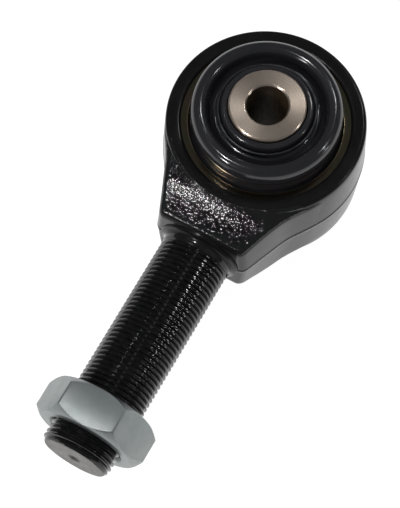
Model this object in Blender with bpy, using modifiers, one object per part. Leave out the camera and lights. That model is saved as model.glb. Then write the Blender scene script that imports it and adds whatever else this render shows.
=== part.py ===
"""Booted rod end bearing (flex joint), 1 in - 14 thread, for a 9/16 in bolt.

Frame: origin at the ball's centre, +Z up along the bolt bore, shank along -Y.
Every named object is one physical piece.
"""
import math

import bmesh
import bpy

MM = 0.001
GAP = 0.3 * MM                 # clearance kept between touching pieces
UP, DOWN = 1, -1
SIDE_NAMES = {UP: "upper", DOWN: "lower"}

# Ball, spacers and bolt bore
BALL_R = 22.0 * MM
BALL_HALF_WIDTH = 18.5 * MM
BALL_BORE_R = 9.85 * MM
BOLT_R = 7.2 * MM
SPACER_R = 13.34 * MM
SPACER_NECK_R = 11.0 * MM
SPACER_STEM_R = 9.5 * MM
JOINT_HALF_WIDTH = 32.3 * MM   # to the outer face of each spacer

# Forged body
HEAD_FACE_R = 34.6 * MM
HEAD_MAX_R = 35.5 * MM         # at the forging's parting plane
HEAD_HALF_HEIGHT = 20.0 * MM
HEAD_EDGE = 1.0 * MM           # bevel between the side wall and each face
SHOULDER_Y = -46.3 * MM        # end face of the neck
SHANK_TIP_Y = -131.1 * MM
NECK_CORNER = 2.0 * MM

# Thread
THREAD_R = 12.7 * MM
THREAD_PITCH = 25.4 * MM / 14
THREAD_DEPTH = 1.1 * MM
THREAD_START_Y = -51.0 * MM
TIP_CHAMFER = 1.5 * MM

# Bearing stack, as distances from the mid plane
SEAT_R = 26.0 * MM             # inside the sleeve
RACE_CLEARANCE = 0.4 * MM
RACE_TOP = 12.0 * MM
WASHER_THICK = 1.2 * MM
WASHER_INNER_R = 20.5 * MM
CIRCLIP_THICK = 1.3 * MM
CIRCLIP_INNER_R = 21.8 * MM
CIRCLIP_GROOVE_R = 27.2 * MM
CIRCLIP_GROOVE_Z = 13.5 * MM
EYE_BORE_R = 29.2 * MM
BOOT_SEAT_Z = 16.2 * MM
BOOT_FLANGE_THICK = 1.5 * MM
RING_GROOVE_R = 30.0 * MM
RING_GROOVE_Z = 18.0 * MM
RING_THICK = 1.1 * MM
RING_INNER_R = 26.8 * MM
MOUTH_CHAMFER = 0.5 * MM

# Boot
BOOT_SKIRT_R = 26.2 * MM
BOOT_WALL = 1.8 * MM
BOOT_CREST_R = 23.0 * MM
BOOT_CREST_Z = 31.0 * MM
BOOT_VALLEY_Z = 25.4 * MM
COLLAR_R = 15.9 * MM
COLLAR_TOP_Z = 31.0 * MM
COLLAR_BORE_R = 13.7 * MM
LIP_RING_R = 16.75 * MM        # centre line of the wire ring round the collar
LIP_RING_WIRE_R = 0.5 * MM
LIP_RING_Z = 28.6 * MM

# Jam nut
NUT_ACROSS_FLATS = 36.0 * MM
NUT_THICK = 13.9 * MM
NUT_CENTRE_Y = -116.8 * MM
NUT_BORE_R = 13.15 * MM
NUT_TURN = math.radians(-1.6)   # how the nut happens to stand on the thread

# Grease nipple, in a pocket in the crown, with its axis along Y
POCKET_R = 5.2 * MM
POCKET_FLOOR_Y = 31.6 * MM
NIPPLE_HEX_R = 3.9 * MM
NIPPLE_TIP_Y = 38.6 * MM
CHECK_BALL_R = 0.8 * MM

RING_STEPS = 32
HEAD_STEPS = 40
SHANK_STEPS = 20
SMALL_STEPS = 24


# ---------------------------------------------------------------- helpers

def clear_scene():
    for obj in list(bpy.data.objects):
        bpy.data.objects.remove(obj, do_unlink=True)


def new_collection(name):
    collection = bpy.data.collections.new(name)
    bpy.context.scene.collection.children.link(collection)
    return collection


def make_material(name, colour, roughness, metallic):
    material = bpy.data.materials.new(name)
    material.use_nodes = True
    shader = material.node_tree.nodes["Principled BSDF"]
    shader.inputs["Base Color"].default_value = (*colour, 1.0)
    shader.inputs["Roughness"].default_value = roughness
    shader.inputs["Metallic"].default_value = metallic
    material.diffuse_color = (*colour, 1.0)
    return material


def add_object(name, mesh, collection):
    obj = bpy.data.objects.new(name, mesh)
    collection.objects.link(obj)
    return obj


def dress(obj, material, sharp_deg=28):
    """Give the piece its material, and smooth shading with crisp edges."""
    obj.data.materials.clear()
    obj.data.materials.append(material)
    obj.data.shade_smooth()
    obj.data.set_sharp_from_angle(angle=math.radians(sharp_deg))
    return obj


def turned(name, profile, collection, steps=RING_STEPS, closed=True):
    """Turn a profile of (radius, height) points about Z.

    The points run down the outer side. A closed profile makes a ring; an open one
    starts and ends on the axis and makes a solid.
    """
    edges = [(i, i + 1) for i in range(len(profile) - 1)]
    if closed:
        edges.append((len(profile) - 1, 0))
    mesh = bpy.data.meshes.new(name)
    mesh.from_pydata([(radius, 0.0, height) for radius, height in profile], edges, [])
    obj = add_object(name, mesh, collection)
    screw = obj.modifiers.new("turn", "SCREW")
    screw.steps = steps
    screw.render_steps = steps
    screw.use_merge_vertices = True
    screw.merge_threshold = 0.00002
    return obj


def freeze(obj):
    """Apply the modifiers and join coincident points, so the piece can be cut."""
    depsgraph = bpy.context.evaluated_depsgraph_get()
    mesh = bpy.data.meshes.new_from_object(obj.evaluated_get(depsgraph))
    work = bmesh.new()
    work.from_mesh(mesh)
    bmesh.ops.remove_doubles(work, verts=work.verts, dist=0.000005)
    bmesh.ops.recalc_face_normals(work, faces=work.faces)
    work.to_mesh(mesh)
    work.free()
    obj.modifiers.clear()
    obj.data = mesh
    return obj


def boolean(target, other, operation):
    other.hide_render = True
    other.display_type = "WIRE"
    modifier = target.modifiers.new(other.name, "BOOLEAN")
    modifier.operation = operation
    modifier.solver = "EXACT"
    modifier.object = other


def sided(profile, side):
    """The profile itself above, or its mirror image below, still running downwards."""
    if side == UP:
        return profile
    return [(radius, -height) for radius, height in reversed(profile)]


def arc(centre, radius, start_deg, end_deg, count):
    """Points (radius, height) along an arc; angles run from outwards to upwards."""
    angles = [math.radians(start_deg + (end_deg - start_deg) * i / count) for i in range(count + 1)]
    return [(centre[0] + radius * math.cos(a), centre[1] + radius * math.sin(a)) for a in angles]


def sphere_arc(radius, high, low, count):
    """Points on a sphere about the origin between two heights."""
    start = math.degrees(math.asin(high / radius))
    end = math.degrees(math.asin(low / radius))
    return arc((0.0, 0.0), radius, start, end, count)


# ---------------------------------------------------------------- forged body

def make_head(collection):
    """Solid head with drafted side walls and bevelled edges."""
    face_r = HEAD_FACE_R - HEAD_EDGE
    profile = [(0.0, HEAD_HALF_HEIGHT), (face_r, HEAD_HALF_HEIGHT)]
    for level in (0.95, 0.5, 0.0, -0.5, -0.95):
        radius = HEAD_MAX_R - (HEAD_MAX_R - HEAD_FACE_R) * abs(level)
        profile.append((radius, level * HEAD_HALF_HEIGHT))
    profile += [(face_r, -HEAD_HALF_HEIGHT), (0.0, -HEAD_HALF_HEIGHT)]
    return turned("head_blank", profile, collection, HEAD_STEPS, closed=False)


# Neck sections in mm: y, half-width at the parting plane, half-width at the top, height
NECK_SECTIONS = [
    (-46.3, 16.3, 15.1, 15.0),
    (-45.2, 17.3, 16.0, 15.7),
    (-41.0, 19.0, 17.6, 17.3),
    (-37.0, 20.5, 19.3, 18.7),
    (-33.4, 21.9, 20.9, 19.8),
    (-28.0, 24.0, 23.3, 19.8),
    (-24.0, 26.2, 25.3, 19.8),
    (-17.0, 29.6, 28.4, 19.8),
    (-10.0, 33.0, 30.0, 19.8),
]


def neck_ring(width, top_width, height):
    """Section outline: crowned sides, rounded corners, flat top and bottom."""
    quarter = []
    for share in (0.0, 0.45, 0.85):
        quarter.append((width - (width - top_width) * share ** 2, share * (height - NECK_CORNER)))
    quarter.append((top_width - 0.3 * NECK_CORNER, height - 0.3 * NECK_CORNER))
    quarter.append((top_width - NECK_CORNER, height))
    upper = quarter + [(-x, z) for x, z in reversed(quarter)]
    lower = [(x, -z) for x, z in reversed(upper[1:-1])]
    return upper + lower


def make_neck(collection):
    """Loft through the sections, which differ in width and in height."""
    work = bmesh.new()
    rings = []
    for section in NECK_SECTIONS:
        y, width, top_width, height = (value * MM for value in section)
        outline = neck_ring(width, top_width, height)
        rings.append([work.verts.new((x, y, z)) for x, z in outline])
    count = len(rings[0])
    for first, second in zip(rings, rings[1:]):
        for i in range(count):
            j = (i + 1) % count
            work.faces.new((first[i], first[j], second[j], second[i]))
    work.faces.new(rings[0])
    work.faces.new(rings[-1])
    bmesh.ops.recalc_face_normals(work, faces=work.faces)
    mesh = bpy.data.meshes.new("neck_blank")
    work.to_mesh(mesh)
    work.free()
    return add_object("neck_blank", mesh, collection)


def make_shank(collection):
    """Shank with true-pitch thread grooves and a small collar at the shoulder."""
    inside_y = SHOULDER_Y + 8.0 * MM
    collar_r = THREAD_R + 2.2 * MM
    profile = [(0.0, inside_y), (collar_r, inside_y), (collar_r, SHOULDER_Y - 0.9 * MM),
               (THREAD_R + 0.7 * MM, SHOULDER_Y - 1.8 * MM),
               (THREAD_R, SHOULDER_Y - 3.4 * MM), (THREAD_R, THREAD_START_Y)]
    last_crest_y = SHANK_TIP_Y + TIP_CHAMFER
    turns = int((THREAD_START_Y - last_crest_y) / THREAD_PITCH)
    for i in range(turns):
        groove_y = THREAD_START_Y - (i + 0.5) * THREAD_PITCH
        profile.append((THREAD_R - THREAD_DEPTH, groove_y))
        profile.append((THREAD_R, groove_y - 0.5 * THREAD_PITCH))
    profile += [(THREAD_R, last_crest_y), (THREAD_R - TIP_CHAMFER, SHANK_TIP_Y),
                (2.4 * MM, SHANK_TIP_Y), (0.0, SHANK_TIP_Y + 4.0 * MM)]
    shank = turned("shank_blank", profile, collection, SHANK_STEPS, closed=False)
    shank.rotation_euler = (math.radians(-90), 0.0, 0.0)
    return shank


def bore_profile():
    """The eye's bore as a solid: a straight bore with a chamfer and a ring groove at each end."""
    half = [
        (EYE_BORE_R + MOUTH_CHAMFER, HEAD_HALF_HEIGHT + 2.0 * MM),
        (EYE_BORE_R + MOUTH_CHAMFER, HEAD_HALF_HEIGHT - 0.05 * MM),
        (EYE_BORE_R, HEAD_HALF_HEIGHT - 0.3 * MM),
        (EYE_BORE_R, RING_GROOVE_Z + RING_THICK + GAP),
        (RING_GROOVE_R, RING_GROOVE_Z + RING_THICK + GAP),
        (RING_GROOVE_R, RING_GROOVE_Z - GAP),
        (EYE_BORE_R, RING_GROOVE_Z - GAP),
    ]
    top = [(0.0, HEAD_HALF_HEIGHT + 2.0 * MM)] + half
    return top + [(radius, -height) for radius, height in reversed(top)]


def pocket_profile():
    """Nipple pocket, tapped hole and the grease way through to the races."""
    return [(0.0, HEAD_MAX_R + 4.0 * MM), (POCKET_R, HEAD_MAX_R + 4.0 * MM),
            (POCKET_R, POCKET_FLOOR_Y), (3.1 * MM, POCKET_FLOOR_Y),
            (3.1 * MM, POCKET_FLOOR_Y - 4.2 * MM), (0.0, POCKET_FLOOR_Y - 4.2 * MM)]


def make_grease_way(name, cutters):
    """Drill for the radial hole that brings grease from the nipple to the races."""
    bpy.ops.mesh.primitive_cylinder_add(vertices=10, radius=1.2 * MM, depth=10.0 * MM,
                                        location=(0.0, SEAT_R, 0.0),
                                        rotation=(math.radians(90), 0.0, 0.0))
    way = bpy.context.object
    way.name = name
    way.users_collection[0].objects.unlink(way)
    cutters.objects.link(way)
    return way


def make_rod_end_body(collection, cutters, material):
    head = freeze(make_head(collection))
    head.name = "rod_end_body"
    neck = make_neck(cutters)
    shank = make_shank(cutters)
    bore = turned("bore_cutter", bore_profile(), cutters, HEAD_STEPS, closed=False)
    pocket = turned("pocket_cutter", pocket_profile(), cutters, 20, closed=False)
    pocket.rotation_euler = (math.radians(-90), 0.0, 0.0)
    way = make_grease_way("eye_grease_way", cutters)
    boolean(head, neck, "UNION")
    boolean(head, shank, "UNION")
    for cutter in (bore, pocket, way):
        boolean(head, cutter, "DIFFERENCE")
    bpy.context.view_layer.update()
    freeze(head)
    return dress(head, material)


# ---------------------------------------------------------------- bearing stack

def make_sleeve(collection, cutters, material):
    """Steel sleeve pressed into the eye: race seat, and a circlip groove near each end."""
    half = [
        (EYE_BORE_R - GAP, BOOT_SEAT_Z - GAP),
        (SEAT_R, BOOT_SEAT_Z - GAP),
        (SEAT_R, CIRCLIP_GROOVE_Z + CIRCLIP_THICK + GAP),
        (CIRCLIP_GROOVE_R, CIRCLIP_GROOVE_Z + CIRCLIP_THICK + GAP),
        (CIRCLIP_GROOVE_R, CIRCLIP_GROOVE_Z - GAP),
        (SEAT_R, CIRCLIP_GROOVE_Z - GAP),
    ]
    profile = half + [(radius, -height) for radius, height in reversed(half)]
    sleeve = turned("bearing_sleeve", profile, collection)
    boolean(sleeve, make_grease_way("sleeve_grease_way", cutters), "DIFFERENCE")
    return dress(sleeve, material)


def make_race(side, collection, material):
    outer = SEAT_R - GAP
    profile = [(outer, RACE_TOP - 0.8 * MM), (outer, GAP / 2)]
    profile += list(reversed(sphere_arc(BALL_R + RACE_CLEARANCE, RACE_TOP, GAP / 2, 5)))
    profile += [(outer - 0.8 * MM, RACE_TOP)]
    race = turned(SIDE_NAMES[side] + "_race", sided(profile, side), collection)
    return dress(race, material)


def make_flat_ring(name, side, inner, outer, low, thick, collection, material):
    profile = [(outer, low + thick), (outer, low), (inner, low), (inner, low + thick)]
    return dress(turned(name, sided(profile, side), collection), material)


def make_circlip(side, collection, cutters, material):
    """Internal circlip: a flat ring, open at the neck's side, with a hole in each ear."""
    outer = CIRCLIP_GROOVE_R - GAP
    name = SIDE_NAMES[side] + "_circlip"
    clip = make_flat_ring(name, side, CIRCLIP_INNER_R + 1.0 * MM, outer,
                          CIRCLIP_GROOVE_Z, CIRCLIP_THICK, collection, material)
    bpy.ops.mesh.primitive_cube_add(size=1.0, location=(0.0, -outer, side * CIRCLIP_GROOVE_Z))
    notch = bpy.context.object
    notch.name = name + "_notch"
    notch.dimensions = (9.0 * MM, 16.0 * MM, 8.0 * MM)
    notch.users_collection[0].objects.unlink(notch)
    cutters.objects.link(notch)
    boolean(clip, notch, "DIFFERENCE")
    return clip


def make_retaining_ring(side, collection, cutters, material):
    """Spiral ring that holds the boot's flange, with a removal notch at its free end."""
    name = SIDE_NAMES[side] + "_retaining_ring"
    ring = make_flat_ring(name, side, RING_INNER_R, RING_GROOVE_R - GAP,
                          RING_GROOVE_Z, RING_THICK, collection, material)
    bpy.ops.mesh.primitive_cube_add(size=1.0, location=(0.0, RING_GROOVE_R, side * RING_GROOVE_Z))
    notch = bpy.context.object
    notch.name = name + "_notch"
    notch.dimensions = (3.0 * MM, 2.6 * MM, 8.0 * MM)
    notch.users_collection[0].objects.unlink(notch)
    cutters.objects.link(notch)
    boolean(ring, notch, "DIFFERENCE")
    return ring


def make_ball(collection, material):
    chamfer = 0.5 * MM
    profile = sphere_arc(BALL_R, BALL_HALF_WIDTH, -BALL_HALF_WIDTH, 10)
    profile += [(BALL_BORE_R + chamfer, -BALL_HALF_WIDTH), (BALL_BORE_R, -BALL_HALF_WIDTH + chamfer),
                (BALL_BORE_R, BALL_HALF_WIDTH - chamfer), (BALL_BORE_R + chamfer, BALL_HALF_WIDTH)]
    return dress(turned("ball", profile, collection), material)


def make_spacer(side, collection, material):
    """High-misalignment spacer: face, head, narrow neck, and a stem with an O-ring groove."""
    chamfer = 0.5 * MM
    seat_z = BALL_HALF_WIDTH + GAP
    groove_top = 12.0 * MM
    profile = [
        (SPACER_R - chamfer, JOINT_HALF_WIDTH), (SPACER_R, JOINT_HALF_WIDTH - chamfer),
        (SPACER_R, 25.0 * MM), (SPACER_NECK_R, 21.4 * MM), (SPACER_NECK_R, seat_z),
        (SPACER_STEM_R, seat_z), (SPACER_STEM_R, groove_top),
        (SPACER_STEM_R - 1.2 * MM, groove_top), (SPACER_STEM_R - 1.2 * MM, groove_top - 2.0 * MM),
        (SPACER_STEM_R, groove_top - 2.0 * MM), (SPACER_STEM_R, GAP), (BOLT_R, GAP),
        (BOLT_R, JOINT_HALF_WIDTH - chamfer), (BOLT_R + chamfer, JOINT_HALF_WIDTH),
    ]
    spacer = turned(SIDE_NAMES[side] + "_spacer", sided(profile, side), collection)
    return dress(spacer, material)


def make_round_ring(name, side, radius, wire_r, height, collection, material):
    """A ring of round section."""
    profile = arc((radius, height), wire_r, 90, -270, 6)[:-1]
    ring = turned(name, sided(profile, side), collection, SMALL_STEPS)
    return dress(ring, material, sharp_deg=80)


def make_boot(side, collection, material):
    """Rubber boot: clamped flange, skirt, one round fold, valley and a thick collar."""
    wall = BOOT_WALL
    crest_r = BOOT_SKIRT_R - BOOT_CREST_R
    crest_z = BOOT_CREST_Z - crest_r
    flange_r = EYE_BORE_R - GAP
    flange_top = BOOT_SEAT_Z + BOOT_FLANGE_THICK
    inner_fold_r = BOOT_CREST_R - crest_r
    outside = arc((BOOT_CREST_R, crest_z), crest_r, 180, 0, 7)
    inside = arc((BOOT_CREST_R, crest_z), crest_r - wall, 0, 180, 5)
    profile = [
        (COLLAR_R, COLLAR_TOP_Z), (COLLAR_R, BOOT_VALLEY_Z + 0.6 * MM),
        (COLLAR_R + 1.0 * MM, BOOT_VALLEY_Z), (inner_fold_r - 1.2 * MM, BOOT_VALLEY_Z),
    ]
    profile += outside
    profile += [
        (BOOT_SKIRT_R, flange_top), (flange_r, flange_top), (flange_r, BOOT_SEAT_Z),
        (BOOT_SKIRT_R - wall, BOOT_SEAT_Z),
    ]
    profile += inside
    profile += [(inner_fold_r + wall, BOOT_VALLEY_Z), (inner_fold_r - 0.8 * MM, BOOT_VALLEY_Z - wall),
                (COLLAR_BORE_R, BOOT_VALLEY_Z - wall), (COLLAR_BORE_R, COLLAR_TOP_Z)]
    boot = turned(SIDE_NAMES[side] + "_boot", sided(profile, side), collection)
    return dress(boot, material, sharp_deg=50)


# ---------------------------------------------------------------- grease nipple

def turned_along_y(name, profile, collection, steps, closed, material):
    """Turn a profile whose heights are Y values, and stand it on the Y axis."""
    obj = freeze(turned(name, profile, collection, steps, closed))
    for vertex in obj.data.vertices:
        x, y, z = vertex.co
        vertex.co = (x, z, -y)
    return dress(obj, material)


def make_nipple(collection, materials):
    """Hydraulic nipple with an open bore, a check ball behind its tip and a spring."""
    base_y = POCKET_FLOOR_Y + GAP
    foot_y = EYE_BORE_R + GAP / 2
    bore_r = 1.15 * MM
    mouth_r = 0.6 * MM
    profile = [
        (mouth_r, NIPPLE_TIP_Y), (1.3 * MM, NIPPLE_TIP_Y), (1.9 * MM, NIPPLE_TIP_Y - 1.2 * MM),
        (1.4 * MM + bore_r / 4, NIPPLE_TIP_Y - 2.2 * MM), (NIPPLE_HEX_R * 0.8, base_y + 2.4 * MM),
        (NIPPLE_HEX_R, base_y + 2.0 * MM), (NIPPLE_HEX_R, base_y), (2.75 * MM, base_y),
        (2.75 * MM, foot_y), (bore_r, foot_y),
        (bore_r, NIPPLE_TIP_Y - 0.9 * MM), (mouth_r, NIPPLE_TIP_Y - 0.5 * MM),
    ]
    turned_along_y("grease_nipple", profile, collection, 12, True, materials["zinc"])
    ball_y = NIPPLE_TIP_Y - 0.9 * MM - CHECK_BALL_R - 0.1 * MM
    bpy.ops.mesh.primitive_ico_sphere_add(subdivisions=2, radius=CHECK_BALL_R)
    ball = bpy.context.object
    ball.name = "nipple_ball"
    ball.location = (0.0, ball_y, 0.0)
    ball.users_collection[0].objects.unlink(ball)
    collection.objects.link(ball)
    dress(ball, materials["steel"], sharp_deg=80)
    make_nipple_spring(ball_y - CHECK_BALL_R - 0.15 * MM, foot_y + GAP, collection,
                       materials["steel"])


def make_nipple_spring(top_y, bottom_y, collection, material):
    """Helical spring behind the check ball, as a poly spline with a round bevel."""
    turns, steps, wire_r, coil_r = 4, 8, 0.14 * MM, 0.75 * MM
    top = top_y - wire_r
    bottom = bottom_y + wire_r
    curve = bpy.data.curves.new("nipple_spring", "CURVE")
    curve.dimensions = "3D"
    curve.bevel_depth = wire_r
    curve.bevel_resolution = 1
    curve.use_fill_caps = True
    spline = curve.splines.new("POLY")
    spline.points.add(turns * steps)
    for i in range(turns * steps + 1):
        angle = math.tau * i / steps
        y = bottom + (top - bottom) * i / (turns * steps)
        spline.points[i].co = (coil_r * math.cos(angle), y, coil_r * math.sin(angle), 1.0)
    guide = bpy.data.objects.new("spring_guide", curve)
    collection.objects.link(guide)
    bpy.context.view_layer.update()
    mesh = bpy.data.meshes.new_from_object(
        guide.evaluated_get(bpy.context.evaluated_depsgraph_get()))
    bpy.data.objects.remove(guide, do_unlink=True)
    work = bmesh.new()
    work.from_mesh(mesh)
    bmesh.ops.remove_doubles(work, verts=work.verts, dist=0.000002)
    bmesh.ops.recalc_face_normals(work, faces=work.faces)
    work.to_mesh(mesh)
    work.free()
    spring = add_object("nipple_spring", mesh, collection)
    return dress(spring, material, sharp_deg=80)


# ---------------------------------------------------------------- jam nut

def make_jam_nut(collection, cutters, material):
    """Hexagon with both ends chamfered, bored clear of the thread's crests."""
    corner_r = NUT_ACROSS_FLATS / math.sqrt(3)
    bpy.ops.mesh.primitive_cylinder_add(vertices=6, radius=corner_r, depth=NUT_THICK)
    nut = bpy.context.object
    nut.name = "jam_nut"
    nut.users_collection[0].objects.unlink(nut)
    collection.objects.link(nut)
    half = NUT_THICK / 2
    face_r = NUT_ACROSS_FLATS / 2 - 0.4 * MM
    drop = (corner_r - face_r) * math.tan(math.radians(30))
    over = 1.0 * MM
    barrel = turned("nut_chamfer_cutter", [
        (0.0, half), (face_r, half), (corner_r + over, half - drop - over * 0.577),
        (corner_r + over, -half + drop + over * 0.577), (face_r, -half), (0.0, -half)],
        cutters, HEAD_STEPS, closed=False)
    lead = 0.9 * MM
    hole = turned("nut_bore_cutter", [
        (0.0, half + over), (NUT_BORE_R + lead + over, half + over), (NUT_BORE_R, half - lead),
        (NUT_BORE_R, -half + lead), (NUT_BORE_R + lead + over, -half - over), (0.0, -half - over)],
        cutters, SHANK_STEPS, closed=False)
    boolean(nut, barrel, "INTERSECT")
    boolean(nut, hole, "DIFFERENCE")
    bpy.context.view_layer.update()
    freeze(nut)
    # The cylinder's corner lies on its Y axis, which the tilt below turns onto -Z
    for vertex in nut.data.vertices:
        x, y, z = vertex.co
        turn = NUT_TURN - math.radians(90)
        across = x * math.cos(turn) - y * math.sin(turn)
        upright = x * math.sin(turn) + y * math.cos(turn)
        vertex.co = (across, z, -upright)
    nut.location = (0.0, NUT_CENTRE_Y, 0.0)
    return dress(nut, material, sharp_deg=20)


# ---------------------------------------------------------------- assembly

def build():
    clear_scene()
    parts = new_collection("rod_end_bearing")
    cutters = new_collection("cutters")
    black = make_material("black_forging", (0.012, 0.012, 0.013), 0.28, 0.6)
    stainless = make_material("stainless_steel", (0.52, 0.49, 0.46), 0.26, 1.0)
    rubber = make_material("boot_rubber", (0.02, 0.022, 0.026), 0.34, 0.0)
    polymer = make_material("race_polymer", (0.80, 0.78, 0.70), 0.45, 0.0)
    spring_steel = make_material("spring_steel", (0.16, 0.16, 0.17), 0.35, 1.0)
    yellow_zinc = make_material("yellow_zinc", (0.60, 0.47, 0.20), 0.30, 1.0)
    zinc = make_material("zinc_plate", (0.58, 0.60, 0.62), 0.34, 1.0)
    chrome = make_material("chromed_steel", (0.75, 0.76, 0.78), 0.08, 1.0)
    seal = make_material("seal_rubber", (0.015, 0.015, 0.015), 0.5, 0.0)

    make_rod_end_body(parts, cutters, black)
    make_jam_nut(parts, cutters, zinc)
    make_sleeve(parts, cutters, stainless)
    make_ball(parts, chrome)
    make_nipple(parts, {"zinc": zinc, "steel": spring_steel})
    for side in (UP, DOWN):
        name = SIDE_NAMES[side]
        make_race(side, parts, polymer)
        make_flat_ring(name + "_washer", side, WASHER_INNER_R, SEAT_R - GAP,
                       RACE_TOP + GAP / 2, WASHER_THICK - GAP / 2, parts, stainless)
        make_circlip(side, parts, cutters, spring_steel)
        make_retaining_ring(side, parts, cutters, yellow_zinc)
        make_spacer(side, parts, stainless)
        make_round_ring(name + "_o_ring", side, SPACER_STEM_R - 0.2 * MM, 0.5 * MM,
                        11.0 * MM, parts, seal)
        make_boot(side, parts, rubber)
        make_round_ring(name + "_lip_ring", side, LIP_RING_R, LIP_RING_WIRE_R,
                        LIP_RING_Z, parts, spring_steel)


build()
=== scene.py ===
"""Looks of the booted rod end bearing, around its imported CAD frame.

Origin at the ball's centre, +Z up along the bolt bore, threaded shank along -Y.
"""
import math

import bmesh
import bpy
from mathutils import Matrix, Vector, noise
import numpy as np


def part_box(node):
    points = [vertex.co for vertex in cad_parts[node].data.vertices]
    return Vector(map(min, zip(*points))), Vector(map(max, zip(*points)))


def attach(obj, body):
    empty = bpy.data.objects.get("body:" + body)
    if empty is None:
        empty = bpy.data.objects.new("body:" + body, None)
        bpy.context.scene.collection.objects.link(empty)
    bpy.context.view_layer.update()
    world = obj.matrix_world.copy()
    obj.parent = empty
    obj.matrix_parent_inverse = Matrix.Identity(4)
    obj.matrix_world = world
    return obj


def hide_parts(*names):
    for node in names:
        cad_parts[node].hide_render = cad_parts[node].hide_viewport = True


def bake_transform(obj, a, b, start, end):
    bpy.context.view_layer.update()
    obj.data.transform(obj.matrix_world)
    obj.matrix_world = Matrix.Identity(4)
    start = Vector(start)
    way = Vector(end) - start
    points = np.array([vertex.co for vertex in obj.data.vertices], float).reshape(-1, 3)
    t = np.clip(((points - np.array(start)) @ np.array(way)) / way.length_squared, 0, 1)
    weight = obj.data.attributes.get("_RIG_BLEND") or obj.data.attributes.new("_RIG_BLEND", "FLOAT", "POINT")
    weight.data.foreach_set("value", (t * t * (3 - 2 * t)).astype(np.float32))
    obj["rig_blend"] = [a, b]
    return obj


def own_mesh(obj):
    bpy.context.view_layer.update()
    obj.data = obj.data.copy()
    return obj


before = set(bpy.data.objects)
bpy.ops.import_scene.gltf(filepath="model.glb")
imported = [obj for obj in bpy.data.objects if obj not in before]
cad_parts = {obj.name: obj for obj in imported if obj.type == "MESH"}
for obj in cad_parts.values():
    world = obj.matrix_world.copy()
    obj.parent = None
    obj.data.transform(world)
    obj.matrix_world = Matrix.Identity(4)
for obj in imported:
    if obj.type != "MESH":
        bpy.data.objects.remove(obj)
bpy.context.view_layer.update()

MM = 0.001
UP, DOWN = 1, -1
SIDE_NAMES = {UP: "upper", DOWN: "lower"}
TAU = math.tau

# Sizes of the finished pieces, which agree with the CAD solids
HEAD_FACE_R = 34.6 * MM
HEAD_MAX_R = 35.5 * MM
HEAD_HALF_HEIGHT = 20.0 * MM
SPOT_FACE_R = 33.2 * MM        # the cutter's circle on the neck's side
SHOULDER_Y = -46.3 * MM
SHANK_TIP_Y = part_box("rod_end_body")[0].y
THREAD_R = 12.7 * MM
THREAD_PITCH = 25.4 * MM / 14
THREAD_DEPTH = 1.1 * MM
BOLT_R = 7.2 * MM
SPACER_R = 13.34 * MM
JOINT_HALF_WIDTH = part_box("upper_spacer")[1].z
RING_Z = 18.0 * MM
RING_THICK = 1.1 * MM
NUT_ACROSS_FLATS = 36.0 * MM
NUT_CENTRE_Y = (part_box("jam_nut")[0].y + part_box("jam_nut")[1].y) / 2
NUT_HALF = (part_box("jam_nut")[1].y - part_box("jam_nut")[0].y) / 2
NUT_TURN = math.radians(-1.6)

WELD = 0.002 * MM               # points closer together than this are joined
FINE_WELD = 0.001 * MM          # the same, for the thread, the rings and the spring
NECK_WELD = 0.0001 * MM         # the same, for the neck with its forging grain


# ---------------------------------------------------------------- mesh helpers

def add_object(name, data):
    obj = bpy.data.objects.new(name, data)
    bpy.context.scene.collection.objects.link(obj)
    return obj


def mesh_from(name, vertices, faces):
    mesh = bpy.data.meshes.new(name)
    mesh.from_pydata([tuple(v) for v in vertices], [], faces)
    return mesh


def clean(mesh, distance=WELD):
    """Join coincident points, drop collapsed faces and point all faces outwards."""
    work = bmesh.new()
    work.from_mesh(mesh)
    bmesh.ops.remove_doubles(work, verts=work.verts, dist=distance)
    bmesh.ops.dissolve_degenerate(work, edges=work.edges, dist=distance / 2)
    bmesh.ops.recalc_face_normals(work, faces=work.faces)
    work.to_mesh(mesh)
    work.free()
    return mesh


def smooth(obj, sharp_deg=35):
    obj.data.shade_smooth()
    obj.data.set_sharp_from_angle(angle=math.radians(sharp_deg))
    return obj


def grid_faces(rows, columns, wrap_rows=False):
    """Quads over a grid whose vertex (row, column) is number row * columns + column.

    Each row closes on itself; with wrap_rows the last row also joins the first.
    """
    faces = []
    for row in range(rows if wrap_rows else rows - 1):
        below = (row + 1) % rows
        for column in range(columns):
            beside = (column + 1) % columns
            faces.append((row * columns + column, row * columns + beside,
                          below * columns + beside, below * columns + column))
    return faces


def capped_grid(rows, columns):
    """Grid faces, closed by one face over the first row and one over the last."""
    last = (rows - 1) * columns
    faces = grid_faces(rows, columns)
    faces.append(tuple(range(columns)))
    faces.append(tuple(last + i for i in reversed(range(columns))))
    return faces


def lathe(name, profile, steps, closed=True, sharp_deg=35):
    """Turn a profile of (radius, height) about Z: a ring, or a solid with points on the axis."""
    vertices = []
    for radius, height in profile:
        for i in range(steps):
            angle = TAU * i / steps
            vertices.append((radius * math.cos(angle), radius * math.sin(angle), height))
    faces = grid_faces(len(profile), steps, wrap_rows=closed)
    obj = add_object(name, clean(mesh_from(name, vertices, faces)))
    return smooth(obj, sharp_deg)


def arc(centre, radius, start_deg, end_deg, count):
    angles = [math.radians(start_deg + (end_deg - start_deg) * i / count) for i in range(count + 1)]
    return [(centre[0] + radius * math.cos(a), centre[1] + radius * math.sin(a)) for a in angles]


def curve(start, corner, end, share):
    """Place on the curve that leaves start and reaches end, pulled towards the corner."""
    return start * (1 - share) ** 2 + corner * 2 * share * (1 - share) + end * share ** 2


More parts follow.
